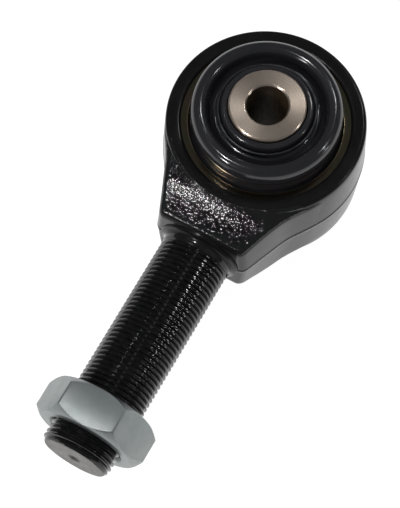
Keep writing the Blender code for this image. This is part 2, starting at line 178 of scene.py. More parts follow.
def rounded(points, radius, steps):
    """A closed (radius, height) outline whose corners are rounded.

    Each corner is an arc-like curve that starts and ends at most a radius away from it.
    """
    result = []
    count = len(points)
    for i, corner in enumerate(points):
        here = Vector(corner)
        before = Vector(points[i - 1])
        after = Vector(points[(i + 1) % count])
        reach = min(radius, (before - here).length * 0.45, (after - here).length * 0.45)
        back = (before - here).normalized() * reach
        ahead = (after - here).normalized() * reach
        # One more point on each side keeps the flats flat under smooth shading
        result.append(tuple(here + back * 1.1))
        for k in range(steps + 1):
            point = curve(here + back, here, here + ahead, k / steps)
            result.append((point.x, point.y))
        result.append(tuple(here + ahead * 1.1))
    return result


def spline(points, per_span):
    """Smooth curve (Catmull-Rom) through points of (radius, height)."""
    last = len(points) - 1
    result = []
    for i in range(last):
        p0, p1, p2, p3 = (Vector(points[min(max(i + k - 1, 0), last)]) for k in range(4))
        for k in range(per_span):
            t = k / per_span
            point = 0.5 * (2 * p1 + (p2 - p0) * t + (2 * p0 - 5 * p1 + 4 * p2 - p3) * t ** 2
                           + (3 * p1 - p0 - 3 * p2 + p3) * t ** 3)
            result.append((point.x, point.y))
    result.append(points[-1])
    return result


def mirrored(profile, side):
    if side == UP:
        return profile
    return [(radius, -height) for radius, height in reversed(profile)]


def apply_modifiers(obj):
    """The mesh that the object's modifiers make of it; the modifiers are then dropped."""
    bpy.context.view_layer.update()
    evaluated = obj.evaluated_get(bpy.context.evaluated_depsgraph_get())
    mesh = bpy.data.meshes.new_from_object(evaluated)
    obj.modifiers.clear()
    return mesh


def combine(target, other, operation):
    """Boolean of two closed meshes, applied at once; the other object is removed."""
    modifier = target.modifiers.new("combine", "BOOLEAN")
    modifier.operation = operation
    modifier.solver = "MANIFOLD"
    modifier.object = other
    mesh = apply_modifiers(target)
    mesh.materials.clear()
    target.data = mesh
    bpy.data.objects.remove(other, do_unlink=True)


def soften_edges(obj, width, angle_deg, slot):
    """Bevel every edge sharper than an angle, applied at once; the new faces get their own slot."""
    modifier = obj.modifiers.new("soften", "BEVEL")
    modifier.material = slot
    modifier.width = width
    modifier.segments = 2
    modifier.limit_method = "ANGLE"
    modifier.angle_limit = math.radians(angle_deg)
    obj.data = apply_modifiers(obj)


def between(low, high, share):
    return low + (high - low) * share


def smooth_max(a, b, blend):
    gap = max(blend - abs(a - b), 0.0) / blend
    return max(a, b) + gap * gap * blend * 0.25


def smooth_min(a, b, blend):
    return -smooth_max(-a, -b, blend)


def smooth_step(value):
    value = min(max(value, 0.0), 1.0)
    return value * value * (3 - 2 * value)


# ---------------------------------------------------------------- materials

class Nodes:
    """A short way to build a node material."""

    def __init__(self, name):
        self.material = bpy.data.materials.new(name)
        self.material.use_nodes = True
        self.tree = self.material.node_tree
        self.shader = self.tree.nodes["Principled BSDF"]
        self.position = self.tree.nodes.new("ShaderNodeTexCoord").outputs["Object"]

    def set(self, **values):
        for key, value in values.items():
            self.shader.inputs[key.replace("_", " ")].default_value = value
        return self

    def add(self, kind, inputs=None, **settings):
        node = self.tree.nodes.new(kind)
        for key, value in settings.items():
            setattr(node, key, value)
        for key, value in (inputs or {}).items():
            if isinstance(value, bpy.types.NodeSocket):
                self.tree.links.new(value, node.inputs[key])
            else:
                node.inputs[key].default_value = value
        return node

    def noise(self, scale, detail=3.0, roughness=0.55, vector=None):
        node = self.add("ShaderNodeTexNoise", {"Vector": vector or self.position, "Scale": scale,
                                               "Detail": detail, "Roughness": roughness})
        return node.outputs["Fac"]

    def voronoi(self, scale):
        node = self.add("ShaderNodeTexVoronoi", {"Vector": self.position, "Scale": scale})
        return node.outputs["Distance"]

    def ramp(self, value, stops):
        """A colour ramp; each stop is (place, grey or colour)."""
        node = self.add("ShaderNodeValToRGB", {"Fac": value})
        elements = node.color_ramp.elements
        while len(elements) < len(stops):
            elements.new(1.0)
        for element, (place, colour) in zip(elements, stops):
            element.position = place
            shade = (colour,) * 3 if isinstance(colour, (int, float)) else colour
            element.color = (*shade, 1.0)
        return node.outputs["Color"]

    def spread(self, value, low, high):
        """Map 0 to 1 onto low to high."""
        node = self.add("ShaderNodeMapRange", {"Value": value, "To Min": low, "To Max": high})
        return node.outputs["Result"]

    def math(self, operation, first, second):
        node = self.add("ShaderNodeMath", {0: first, 1: second}, operation=operation)
        return node.outputs["Value"]

    def link(self, value, socket):
        self.tree.links.new(value, self.shader.inputs[socket])
        return self

    def bump(self, layers):
        """Bump from several (height, distance in metres, strength) layers."""
        normal = None
        for height, distance, strength in layers:
            inputs = {"Height": height, "Distance": distance, "Strength": strength}
            if normal is not None:
                inputs["Normal"] = normal
            normal = self.add("ShaderNodeBump", inputs).outputs["Normal"]
        self.tree.links.new(normal, self.shader.inputs["Normal"])
        return self

    def radius_about_z(self):
        split = self.add("ShaderNodeSeparateXYZ", {"Vector": self.position})
        x2 = self.math("MULTIPLY", split.outputs["X"], split.outputs["X"])
        y2 = self.math("MULTIPLY", split.outputs["Y"], split.outputs["Y"])
        return self.math("SQRT", self.math("ADD", x2, y2), 0.0)


def gloss_black():
    """Black plated finish on machined and smooth forged faces: faint orange peel and dust."""
    look = Nodes("gloss_black").set(Metallic=0.0, Specular_IOR_Level=0.155)
    look.link(look.ramp(look.noise(90, 4), [(0.3, (0.0065, 0.0065, 0.0065)),
                                            (0.75, (0.012, 0.012, 0.0115))]), "Base Color")
    look.link(look.spread(look.noise(260, 3), 0.14, 0.28), "Roughness")
    look.bump([(look.noise(900, 2), 0.00003, 0.3), (look.noise(160, 2), 0.0001, 0.25)])
    return look.material


def forged_black():
    """As-forged skin under the same finish: coarse grain that glitters."""
    look = Nodes("forged_black").set(Metallic=0.0, Specular_IOR_Level=0.6)
    look.link(look.ramp(look.noise(1400, 3), [(0.35, (0.004, 0.004, 0.004)),
                                              (0.8, (0.011, 0.011, 0.011))]), "Base Color")
    look.link(look.spread(look.noise(1100, 2), 0.04, 0.09), "Roughness")
    look.bump([(look.noise(1300, 2, 0.5), 0.0002, 0.6), (look.voronoi(1300), 0.00006, 0.5)])
    return look.material


def thread_black():
    """Thread flanks: gloss black, with the plating thinner and brighter in places."""
    look = Nodes("thread_black").set(Metallic=0.0, Specular_IOR_Level=0.4)
    look.link(look.ramp(look.noise(420, 4), [(0.4, (0.006, 0.006, 0.006)),
                                             (0.85, (0.02, 0.02, 0.02))]), "Base Color")
    look.link(look.spread(look.noise(1300, 3), 0.06, 0.2), "Roughness")
    look.bump([(look.noise(700, 2), 0.00005, 0.4)])
    return look.material


def bare_steel():
    """The shank's sawn and faced end, left bare and slightly stained."""
    look = Nodes("bare_steel").set(Metallic=1.0)
    look.link(look.ramp(look.noise(240, 5, 0.65), [(0.3, (0.10, 0.098, 0.09)),
                                                   (0.7, (0.2, 0.195, 0.185))]), "Base Color")
    look.link(look.spread(look.noise(700, 3), 0.38, 0.6), "Roughness")
    look.bump([(look.noise(1500, 3), 0.0001, 0.5)])
    return look.material


def boot_rubber():
    """Moulded rubber, almost polished, with a bluish cast, flow marks and a few dust specks."""
    look = Nodes("boot_rubber").set(Specular_IOR_Level=0.55)
    base = look.ramp(look.noise(55, 4), [(0.3, (0.0145, 0.0145, 0.017)),
                                         (0.75, (0.0235, 0.023, 0.027))])
    specks = look.ramp(look.voronoi(420), [(0.0, 1.0), (0.035, 0.0)])
    sparse = look.ramp(look.noise(150, 1), [(0.63, 0.0), (0.68, 1.0)])
    dust = look.math("MULTIPLY", specks, sparse)
    mix = look.add("ShaderNodeMix", {0: dust, 6: base, 7: (0.22, 0.22, 0.22, 1.0)},
                   data_type="RGBA")
    look.link(mix.outputs[2], "Base Color")
    look.link(look.spread(look.noise(330, 4, 0.6), 0.08, 0.22), "Roughness")
    look.bump([(look.noise(120, 3), 0.0002, 0.3), (look.noise(1100, 2), 0.00002, 0.3)])
    return look.material


def turned_steel(name, dark, light, anisotropy, rough):
    """Stainless steel with concentric turning marks about Z."""
    look = Nodes(name).set(Metallic=1.0, Anisotropic=anisotropy, Anisotropic_Rotation=0.25)
    radius = look.radius_about_z()
    vector = look.add("ShaderNodeCombineXYZ", {"X": radius}).outputs["Vector"]
    rings = look.noise(9000, 2, 0.6, vector)
    tone = look.math("ADD", look.math("MULTIPLY", rings, 0.5),
                     look.math("MULTIPLY", look.noise(130, 3), 0.5))
    look.link(look.ramp(tone, [(0.3, dark), (0.72, light)]), "Base Color")
    look.link(look.spread(rings, rough * 0.85, rough * 1.25), "Roughness")
    tangent = look.add("ShaderNodeTangent", direction_type="RADIAL", axis="Z").outputs["Tangent"]
    look.link(tangent, "Tangent")
    look.bump([(rings, 0.00002, 0.4)])
    return look.material


def bore_painted_shade():
    """Inside of the bolt bore: drilled steel, with its base colour darkened to dark brown as painted shade
    of the deep bore.
    """
    look = Nodes("bore_painted_shade").set(Metallic=0.35, Specular_IOR_Level=0.12)
    # Painted shade: the dark brown base colour stands in for the shade inside the bore
    look.link(look.ramp(look.noise(160, 5), [(0.3, (0.040, 0.026, 0.014)),
                                             (0.75, (0.095, 0.066, 0.038))]), "Base Color")
    look.link(look.spread(look.noise(500, 4), 0.45, 0.65), "Roughness")
    look.bump([(look.noise(900, 3), 0.0001, 0.6)])
    return look.material


def zinc_plate():
    """Clear zinc plate: cool pale grey, satin, with faint spangle and handling marks."""
    look = Nodes("zinc_plate").set(Metallic=1.0)
    clouds = look.noise(75, 5, 0.6)
    look.link(look.ramp(clouds, [(0.3, (0.22, 0.243, 0.243)), (0.7, (0.30, 0.318, 0.313))]),
              "Base Color")
    look.link(look.spread(look.noise(520, 4, 0.65), 0.34, 0.52), "Roughness")
    scratches = look.add("ShaderNodeMapping", {"Vector": look.position,
                                               "Rotation": (0.3, 0.9, 0.5),
                                               "Scale": (1.0, 14.0, 1.0)}).outputs["Vector"]
    look.bump([(look.noise(260, 3, 0.5, scratches), 0.00005, 0.35),
               (look.noise(900, 3), 0.00004, 0.4)])
    return look.material


def zinc_edge_highlight():
    """The nut's bevelled edges, much paler than the flats: a painted highlight along every edge."""
    look = Nodes("zinc_edge_highlight").set(Metallic=1.0)
    # Painted highlight: a pale base colour on every bevel, lit or not
    look.link(look.ramp(look.noise(400, 4, 0.6), [(0.3, (0.55, 0.57, 0.57)),
                                                  (0.7, (0.90, 0.92, 0.92))]), "Base Color")
    look.link(look.spread(look.noise(700, 3), 0.25, 0.42), "Roughness")
    look.bump([(look.noise(900, 3), 0.00004, 0.4)])
    return look.material


def yellow_zinc():
    """Yellow passivated zinc, drifting towards pink and green; painted shade darkens the flat, and a painted
    highlight brightens the inner edge.
    """
    look = Nodes("yellow_zinc").set(Metallic=1.0)
    drift = look.noise(85, 2, 0.5)
    gold = look.ramp(drift, [(0.32, (0.21, 0.20, 0.13)), (0.45, (0.31, 0.25, 0.15)),
                             (0.56, (0.36, 0.23, 0.18)), (0.68, (0.26, 0.26, 0.16))])
    enlarge = 10.0                 # brings the ring's radii well into the ramp's 0 to 1
    # Painted highlight and shade: bright gold inside 27.1 mm, mostly near-black beyond 27.35 mm
    edge_highlight_flat_shade = look.ramp(look.math("MULTIPLY", look.radius_about_z(), enlarge),
                           [(27.10 * MM * enlarge, 1.0), (27.35 * MM * enlarge, 0.2)])
    mix = look.add("ShaderNodeMix", {0: edge_highlight_flat_shade, 6: (0.06, 0.056, 0.038, 1.0), 7: gold},
                   data_type="RGBA")
    look.link(mix.outputs[2], "Base Color")
    look.link(look.spread(look.noise(600, 3), 0.1, 0.2), "Roughness")
    look.bump([(look.noise(1200, 2), 0.00002, 0.3)])
    return look.material


def spring_steel():
    """Phosphated spring steel: nearly black, satin."""
    look = Nodes("spring_steel").set(Metallic=0.85)
    look.link(look.ramp(look.noise(300, 4), [(0.3, (0.03, 0.03, 0.033)),
                                             (0.75, (0.075, 0.075, 0.08))]), "Base Color")
    look.link(look.spread(look.noise(700, 3), 0.28, 0.48), "Roughness")
    look.bump([(look.noise(1500, 2), 0.00004, 0.4)])
    return look.material


def race_polymer():
    """Machined acetal: off-white with a slight sheen and fine tool marks."""
    look = Nodes("race_polymer")
    look.link(look.ramp(look.noise(180, 3), [(0.3, (0.66, 0.64, 0.56)),
                                             (0.75, (0.80, 0.78, 0.70))]), "Base Color")
    look.link(look.spread(look.noise(500, 3), 0.32, 0.5), "Roughness")
    look.bump([(look.noise(1000, 3), 0.00005, 0.4)])
    return look.material


def chromed_steel():
    """Hard chromed ball with a trace of grease."""
    look = Nodes("chromed_steel").set(Metallic=1.0)
    look.link(look.ramp(look.noise(120, 4), [(0.3, (0.66, 0.67, 0.68)),
                                             (0.75, (0.78, 0.79, 0.80))]), "Base Color")
    look.link(look.spread(look.noise(300, 4), 0.05, 0.2), "Roughness")
    look.bump([(look.noise(800, 2), 0.00002, 0.2)])
    return look.material


def seal_rubber():
    look = Nodes("seal_rubber").set(Specular_IOR_Level=0.4)
    look.link(look.ramp(look.noise(400, 3), [(0.3, (0.010, 0.010, 0.010)),
                                             (0.75, (0.022, 0.022, 0.022))]), "Base Color")
    look.link(look.spread(look.noise(600, 3), 0.4, 0.6), "Roughness")
    look.bump([(look.noise(1500, 2), 0.00003, 0.4)])
    return look.material


# ---------------------------------------------------------------- forged body

# The eye
EYE_BORE_R = 29.2 * MM
EYE_MOUTH_R = 29.3 * MM
RING_GROOVE_R = 30.0 * MM
RING_GROOVE_FOOT, RING_GROOVE_TOP = 17.7 * MM, 19.4 * MM
FACE_ROUNDING = 1.3 * MM                 # between the eye's face and its wall
HEAD_WALL_ROWS = 12
FLASH_HALF = 0.3 * MM                    # the flash line: half its width, and its height
FLASH_HEIGHT = 0.1 * MM

# The neck's side walls
SIDE_DISTANCE = (32.6 * MM, 33.1 * MM)   # from the bore axis, at the mid plane and at the face
SIDE_SLOPE = (0.387, 0.45)               # how fast the neck widens towards the head
CORNER_BLEND = 2.6 * MM
FILLET_BLEND = 3.2 * MM
FILLET_FADE_START = math.radians(56)     # from here on the fillet runs out into the eye's wall
FILLET_FADE_SPAN = math.radians(17)
NECK_SINK = 0.02 * MM                    # how deep the neck's end lies in the eye's wall

# The neck's as-forged skin
SKIN_RISE = 0.35 * MM                    # how far it stands above the eye's face
FALL_START = 34.6 * MM                   # where it starts to fall towards the shoulder
FALL_SLOPE = 0.42
FALL_BLEND = 4.0 * MM
CROWN_RADIUS = 250 * MM
RIM_REACH = 2.2 * MM                     # how far the rim's rounding runs along skin and wall
SKIN_Y = (-45.0 * MM, -22.0 * MM)        # where faces can have the rough finish
SKIN_MIN_Z = 10.0 * MM

# The neck's mesh: angles either side of -Y, with their steps, and rows down its section
ROUGH_ANGLE, NECK_ANGLE = math.radians(34), math.radians(76)
ROUGH_STEPS, NECK_STEPS = 124, 26
TOP_ROWS, RIM_ROWS, WALL_ROWS = 36, 8, 10

GLOSS, FORGED, THREADED, BARE = range(4)     # the body's finishes, by material slot


def draft(height):
    """How far a point has come up from the parting plane to the face, 0 to 1."""
    share = min(abs(height) / HEAD_HALF_HEIGHT, 1.0)
    return 0.8 * share + 0.2 * share * share


def head_wall(height):
    return HEAD_MAX_R - (HEAD_MAX_R - HEAD_FACE_R) * draft(height)


def neck_wall(angle, height):
    """Distance from the bore axis to the neck's wall, at an angle from the -Y direction."""
    share = draft(height)
    distance = between(*SIDE_DISTANCE, share)
    slope = between(*SIDE_SLOPE, share)
    away = abs(angle)
    side = distance
    if away < math.atan2(1.0, slope):
        side = distance * math.hypot(1.0, slope) / (math.sin(away) + slope * math.cos(away))
    shoulder = -SHOULDER_Y / max(math.cos(away), 0.2)
    inner = smooth_min(side, shoulder, CORNER_BLEND)
    faded = smooth_step((away - FILLET_FADE_START) / FILLET_FADE_SPAN)
    return smooth_max(inner, head_wall(height) - NECK_SINK, FILLET_BLEND * (1.0 - 0.98 * faded))


def raw_top(angle, distance):
    """Height of the as-forged skin: slightly crowned, falling from the spot face to the shoulder."""
    across = distance * math.sin(angle)
    along = distance * math.cos(angle) - FALL_START
    fall = 0.5 * (along + math.sqrt(along * along + FALL_BLEND * FALL_BLEND))
    crown = across * across / (2 * CROWN_RADIUS)
    return HEAD_HALF_HEIGHT + SKIN_RISE - FALL_SLOPE * fall - crown


def forging_grain(point):
    """Orange-peel height of the forged skin, about 0.1 mm either way."""
    coarse = noise.noise(point / (1.2 * MM))
    fine = noise.noise(point / (0.55 * MM) + Vector((7.0, 3.0, 1.0)))
    return (0.08 * coarse + 0.085 * fine) * MM


def grain_share(angle, distance, height):
    """How much of the grain a place gets: none on the spot face, the walls or the eye."""
    off_spot_face = smooth_step((distance - SPOT_FACE_R) / (0.8 * MM))
    off_wall = smooth_step((abs(height) - 9.0 * MM) / (4.0 * MM))
    off_eye = smooth_step((math.radians(40) - abs(angle)) / math.radians(8))
    return off_spot_face * off_wall * off_eye


def neck_rim(angle):
    """Distance and height at which the forged skin would meet the wall, found by closing in."""
    distance = SPOT_FACE_R
    for _ in range(40):
        distance = neck_wall(angle, raw_top(angle, distance))
    return distance, raw_top(angle, distance)


def neck_column(angle):
    """Upper half of the neck's section at one angle: points (distance, height), top to mid."""
    rim = neck_rim(angle)
    floor = HEAD_HALF_HEIGHT - 0.4 * MM
    lip = max(raw_top(angle, SPOT_FACE_R), floor + 0.3 * MM)
    points = [(31.0 * MM, floor), (SPOT_FACE_R - 0.02 * MM, floor), (SPOT_FACE_R, lip - 0.2 * MM),
              (SPOT_FACE_R + 0.05 * MM, lip - 0.07 * MM)]
    for i in range(TOP_ROWS + 1):
        distance = between(SPOT_FACE_R + 0.2 * MM, rim[0] - RIM_REACH, i / TOP_ROWS)
        points.append((distance, raw_top(angle, distance)))
    start = points[-1]
    below = rim[1] - RIM_REACH
    end = (neck_wall(angle, below), below)
    for i in range(1, RIM_ROWS):
        points.append(tuple(curve(a, b, c, i / RIM_ROWS) for a, b, c in zip(start, rim, end)))
    for i in range(WALL_ROWS + 1):
        height = between(below, FLASH_HALF, i / WALL_ROWS)
        points.append((neck_wall(angle, height), height))
    points.append((neck_wall(angle, 0.0) + FLASH_HEIGHT, FLASH_HALF / 2))
    return points


def neck_angles():
    """Finer steps across the rough neck, coarser ones where it melts into the head."""
    inner = [ROUGH_ANGLE * (2 * i / ROUGH_STEPS - 1) for i in range(ROUGH_STEPS + 1)]
    outer = [between(ROUGH_ANGLE, NECK_ANGLE, i / NECK_STEPS) for i in range(1, NECK_STEPS + 1)]
    return [-a for a in reversed(outer)] + inner + outer


def make_neck():
    vertices = []
    angles = neck_angles()
    for angle in angles:
        half = neck_column(angle)
        for distance, height in half + [(d, -h) for d, h in reversed(half)]:
            place = Vector((distance * math.sin(angle), -distance * math.cos(angle), height))
            # The grain only ever stands out from the skin, above and below
            grain = forging_grain(place) * grain_share(angle, distance, height)
            place.z += math.copysign(grain, height)
            vertices.append(place)
    faces = capped_grid(len(angles), len(vertices) // len(angles))
    return add_object("neck", clean(mesh_from("neck", vertices, faces), NECK_WELD))


def head_profile():
    """Section of the eye: face, wall with flash line, face, and the bore with its ring grooves."""
    top = HEAD_HALF_HEIGHT
    flat_end = HEAD_FACE_R - FACE_ROUNDING
    half = [(30.4 * MM, top), (flat_end - 0.1 * MM, top), (flat_end, top)]
    half += arc((flat_end, top - FACE_ROUNDING), FACE_ROUNDING, start_deg=80, end_deg=5, count=6)
    for i in range(1, HEAD_WALL_ROWS + 1):
        height = between(top - 1.2 * FACE_ROUNDING, FLASH_HALF, i / HEAD_WALL_ROWS)
        half.append((head_wall(height), height))
    half.append((HEAD_MAX_R + FLASH_HEIGHT, FLASH_HALF / 2))
    bore = [
        (29.9 * MM, top - 0.12 * MM), (29.5 * MM, top - 0.3 * MM), (EYE_MOUTH_R, top - 0.5 * MM),
        (EYE_MOUTH_R, RING_GROOVE_TOP), (RING_GROOVE_R, RING_GROOVE_TOP),
        (RING_GROOVE_R, RING_GROOVE_FOOT), (EYE_BORE_R, RING_GROOVE_FOOT),
    ]
    return (half + [(r, -z) for r, z in reversed(half)]
            + [(r, -z) for r, z in bore] + [(r, z) for r, z in reversed(bore)])


# The shank, and the thread's form over one turn:
# (share of the pitch, share of the depth that is left standing)
THREAD_KNOTS = [(0.0, 1.0), (0.125, 1.0), (0.30, 0.5), (0.47, 0.03), (0.63, 0.03), (0.81, 0.5)]
THREAD_COLUMNS = 72
THREAD_START_Y = -48.4 * MM
THREAD_FADE = (-48.6 * MM, -51.6 * MM)       # where the thread's depth starts and is full
TIP_CHAMFER = 1.6 * MM
SHANK_INSIDE_Y = -38.5 * MM                  # the shank's other end, inside the neck
BOSS_R = 15.1 * MM
# The centre drilled in the tip: (radius, depth) in mm
CENTRE_DRILL = [(2.6, 0.0), (2.35, 0.25), (1.15, 1.6), (1.1, 3.6), (0.0, 4.3)]


def thread_envelope(y):
    """Largest radius at a place along the shank, and the share of full thread depth there."""
    largest = THREAD_R
    from_tip = y - SHANK_TIP_Y
    if from_tip < TIP_CHAMFER:
        largest = THREAD_R - (TIP_CHAMFER - from_tip) * 0.9
    share = smooth_step((THREAD_FADE[0] - y) / (THREAD_FADE[0] - THREAD_FADE[1]))
    return largest, share


def shank_collar():
    """The boss at the shoulder and the root fillet, as (radius, y) down to the thread."""
    collar = [(BOSS_R, SHANK_INSIDE_Y), (BOSS_R, SHOULDER_Y - 0.35 * MM),
              (BOSS_R - 0.25 * MM, SHOULDER_Y - 0.7 * MM)]
    steps = 6
    for i in range(1, steps + 1):
        angle = math.pi / 2 * i / steps
        collar.append((THREAD_R + 0.05 * MM + 1.9 * MM * (1 - math.sin(angle)),
                       SHOULDER_Y - 0.8 * MM - 2.2 * MM * (1 - math.cos(angle))))
    collar.append((THREAD_R, THREAD_START_Y))
    return collar


def thread_ring(turn, place, crest):
    """One line of the helix, as (radius, y) round the shank; it advances by one pitch."""
    ring = []
    for column in range(THREAD_COLUMNS):
        lead = column / THREAD_COLUMNS
        y = THREAD_START_Y - (turn + place + lead - 1.0) * THREAD_PITCH
        y = min(max(y, SHANK_TIP_Y), THREAD_START_Y)
        largest, share = thread_envelope(y)
        radius = THREAD_R - THREAD_DEPTH * (1 - crest) * share
        if y in (THREAD_START_Y, SHANK_TIP_Y):
            radius = largest
        ring.append((min(radius, largest), y))
    return ring


def shank_faces(rows, helix_start, helix_end):
    """Quads between rings; a helix line's last column joins the line one turn on."""
    count = THREAD_COLUMNS
    faces = []
    for row in range(rows - 1):
        for column in range(count):
            beside = (column + 1) % count
            near, far = row, row + 1
            if beside == 0 and helix_start <= row < helix_end - 1:
                near = min(near + len(THREAD_KNOTS), helix_end - 1)
                far = min(far + len(THREAD_KNOTS), helix_end - 1)
            faces.append((row * count + column, near * count + beside,
                          far * count + beside, (row + 1) * count + column))
    return faces


def make_shank():
    """The shank: root fillet at the shoulder, then a right-handed helical thread to the tip."""
    plain = [(0.0, SHANK_INSIDE_Y)] + shank_collar()
    rows = [[point] * THREAD_COLUMNS for point in plain]
    helix_start = len(rows)
    turns = int((THREAD_START_Y - SHANK_TIP_Y) / THREAD_PITCH) + 3
    for turn in range(turns):
        rows += [thread_ring(turn, place, crest) for place, crest in THREAD_KNOTS]
    helix_end = len(rows)
    for radius, depth in CENTRE_DRILL:
        rows.append([(radius * MM, SHANK_TIP_Y + depth * MM)] * THREAD_COLUMNS)
    vertices = []
    for ring in rows:
        for column, (radius, y) in enumerate(ring):
            angle = TAU * column / THREAD_COLUMNS
            vertices.append((radius * math.cos(angle), y, radius * math.sin(angle)))
    faces = shank_faces(len(rows), helix_start, helix_end)
    return add_object("shank", clean(mesh_from("shank", vertices, faces), FINE_WELD))


def cylinder_along_y(name, radius, y_low, y_high, steps=40):
    profile = [(0.0, y_high), (radius, y_high), (radius, y_low), (0.0, y_low)]
    obj = lathe(name, profile, steps, closed=False)
    obj.data.transform(Matrix.Rotation(math.radians(-90), 4, "X"))
    return obj


def body_zone(centre, normal):
    """Which of the forging's finishes a face has."""
    from_tip = centre.y - SHANK_TIP_Y
    on_tip = from_tip < 0.15 * MM
    in_drill = math.hypot(centre.x, centre.z) < 2.5 * MM and from_tip < 5 * MM
    if on_tip or in_drill:
        return BARE
    if centre.y < THREAD_START_Y + 0.1 * MM:
        return THREADED
    on_neck = math.hypot(centre.x, centre.y) > SPOT_FACE_R and SKIN_Y[0] < centre.y < SKIN_Y[1]
    on_skin = abs(normal.z) > 0.4 and abs(centre.z) > SKIN_MIN_Z
    return FORGED if on_neck and on_skin else GLOSS


def make_body():
    """The forged eye, neck and threaded shank, joined and then machined."""
    body = lathe("forged_body", head_profile(), steps=200)
    combine(body, make_neck(), "UNION")
    combine(body, make_shank(), "UNION")
    # At the crown, for the grease nipple: spot-faced pocket, tapped hole and grease passage
    pocket = cylinder_along_y("pocket", 5.2 * MM, 31.6 * MM, 42.0 * MM)
    tapped = cylinder_along_y("tapped", 3.1 * MM, 27.4 * MM, 33.0 * MM)
    passage = cylinder_along_y("passage", 1.2 * MM, 22.0 * MM, 29.0 * MM, steps=20)
    for tool in (pocket, tapped, passage):
        combine(body, tool, "DIFFERENCE")
    for finish in (gloss_black(), forged_black(), thread_black(), bare_steel()):
        body.data.materials.append(finish)
    for polygon in body.data.polygons:
        polygon.material_index = body_zone(polygon.center, polygon.normal)
    smooth(body, sharp_deg=38)
    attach(body, "housing")
    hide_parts("rod_end_body")


# ---------------------------------------------------------------- jam nut

NUT_EDGE = 0.5 * MM              # rounding of the hexagon's upright edges
NUT_EDGE_STEPS = 4
NUT_BEVEL = 0.2 * MM
# The corners turned off at each end: (radius, drop below the face) in mm
NUT_CHAMFER = [(16.9, 0.0), (17.5, 0.08), (18.1, 0.36), (19.0, 1.1), (20.0, 2.05), (20.9, 3.05),
               (22.5, 5.0)]


def hexagon_outline():
    """The hexagon with its corners rounded, about the nut's own Z."""
    corner_r = NUT_ACROSS_FLATS / math.sqrt(3)
    angles = [NUT_TURN + math.radians(60) * i for i in range(6)]
    corners = [Vector((corner_r * math.cos(a), corner_r * math.sin(a))) for a in angles]
    outline = []
    for i, corner in enumerate(corners):
        before, after = corners[i - 1], corners[(i + 1) % 6]
        start = corner + (before - corner).normalized() * NUT_EDGE
        end = corner + (after - corner).normalized() * NUT_EDGE
        for k in range(NUT_EDGE_STEPS + 1):
            outline.append(curve(start, corner, end, k / NUT_EDGE_STEPS))
    return outline


def nut_barrel():
    """The turned envelope that takes the nut's corners off at both ends."""
    half = [(0.0, NUT_HALF)] + [(r * MM, NUT_HALF - drop * MM) for r, drop in NUT_CHAMFER]
    profile = half + [(r, -z) for r, z in reversed(half)]
    return lathe("barrel", profile, steps=180, closed=False)


def nut_bore():
    """The hole for the shank, countersunk at both ends."""
    bore_r = THREAD_R + 0.1 * MM
    lead = 1.2 * MM
    half = [(0.0, NUT_HALF + MM), (bore_r + lead + MM, NUT_HALF + MM), (bore_r, NUT_HALF - lead)]
    profile = half + [(r, -z) for r, z in reversed(half)]
    return lathe("bore", profile, steps=144, closed=False)


def make_nut():
    """Hexagon, corners turned off at both ends, bore countersunk, edges softened."""
    corners = hexagon_outline()
    count = len(corners)
    vertices = [(c.x, c.y, NUT_HALF) for c in corners] + [(c.x, c.y, -NUT_HALF) for c in corners]
    faces = [(i, i + count, (i + 1) % count + count, (i + 1) % count) for i in range(count)]
    faces += [tuple(range(count)), tuple(reversed(range(count, 2 * count)))]
    nut = add_object("jam_nut_finished", clean(mesh_from("nut", vertices, faces)))
    combine(nut, nut_barrel(), "INTERSECT")
    combine(nut, nut_bore(), "DIFFERENCE")
    nut.data.materials.append(zinc_plate())
    # The second slot, for the bevels, carries the painted edge highlight
    nut.data.materials.append(zinc_edge_highlight())
    soften_edges(nut, NUT_BEVEL, angle_deg=18, slot=1)
    # The profile's own Z becomes Y, and its X stays X
    turn = Matrix(((1, 0, 0, 0), (0, 0, 1, NUT_CENTRE_Y), (0, -1, 0, 0), (0, 0, 0, 1)))
    nut.data.transform(turn)
    smooth(nut, sharp_deg=25)
    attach(nut, "jam_nut")
    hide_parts("jam_nut")


# ---------------------------------------------------------------- ball and spacers

BALL_R = 22.0 * MM
BALL_FLAT_Z = 18.5 * MM
BALL_BORE_R = 9.85 * MM
SPACER_NECK_R = 11.0 * MM        # between the collar that shows and the stem in the ball
SPACER_STEM_R = 9.5 * MM
SEAL_GROOVE_R = 8.3 * MM
SPACER_CHAMFER = 0.5 * MM


def spacer_profile():
    """Upper spacer: bore, chamfered end face, collar, neck, and stem with its seal groove."""
    chamfer = SPACER_CHAMFER
    top = JOINT_HALF_WIDTH
    lip = 0.08 * MM
    middle = 0.3 * MM
    return [
        (BOLT_R, middle), (BOLT_R, top - chamfer), (BOLT_R + chamfer * 0.25, top - chamfer * 0.7),
        (BOLT_R + chamfer * 0.9, top - lip), (BOLT_R + chamfer * 1.25, top),
        (BOLT_R + chamfer * 1.35, top), (SPACER_R - chamfer * 1.35, top),
        (SPACER_R - chamfer * 1.25, top), (SPACER_R - chamfer * 0.9, top - lip),
        (SPACER_R - chamfer * 0.25, top - chamfer * 0.7), (SPACER_R, top - chamfer * 1.2),
        (SPACER_R, 25.0 * MM), (12.6 * MM, 23.7 * MM), (SPACER_NECK_R, 21.4 * MM),
        (SPACER_NECK_R, 18.8 * MM), (SPACER_STEM_R, 18.8 * MM), (SPACER_STEM_R, 12.0 * MM),
        (SEAL_GROOVE_R, 12.0 * MM), (SEAL_GROOVE_R, 10.0 * MM), (SPACER_STEM_R, 10.0 * MM),
        (SPACER_STEM_R, middle),
    ]


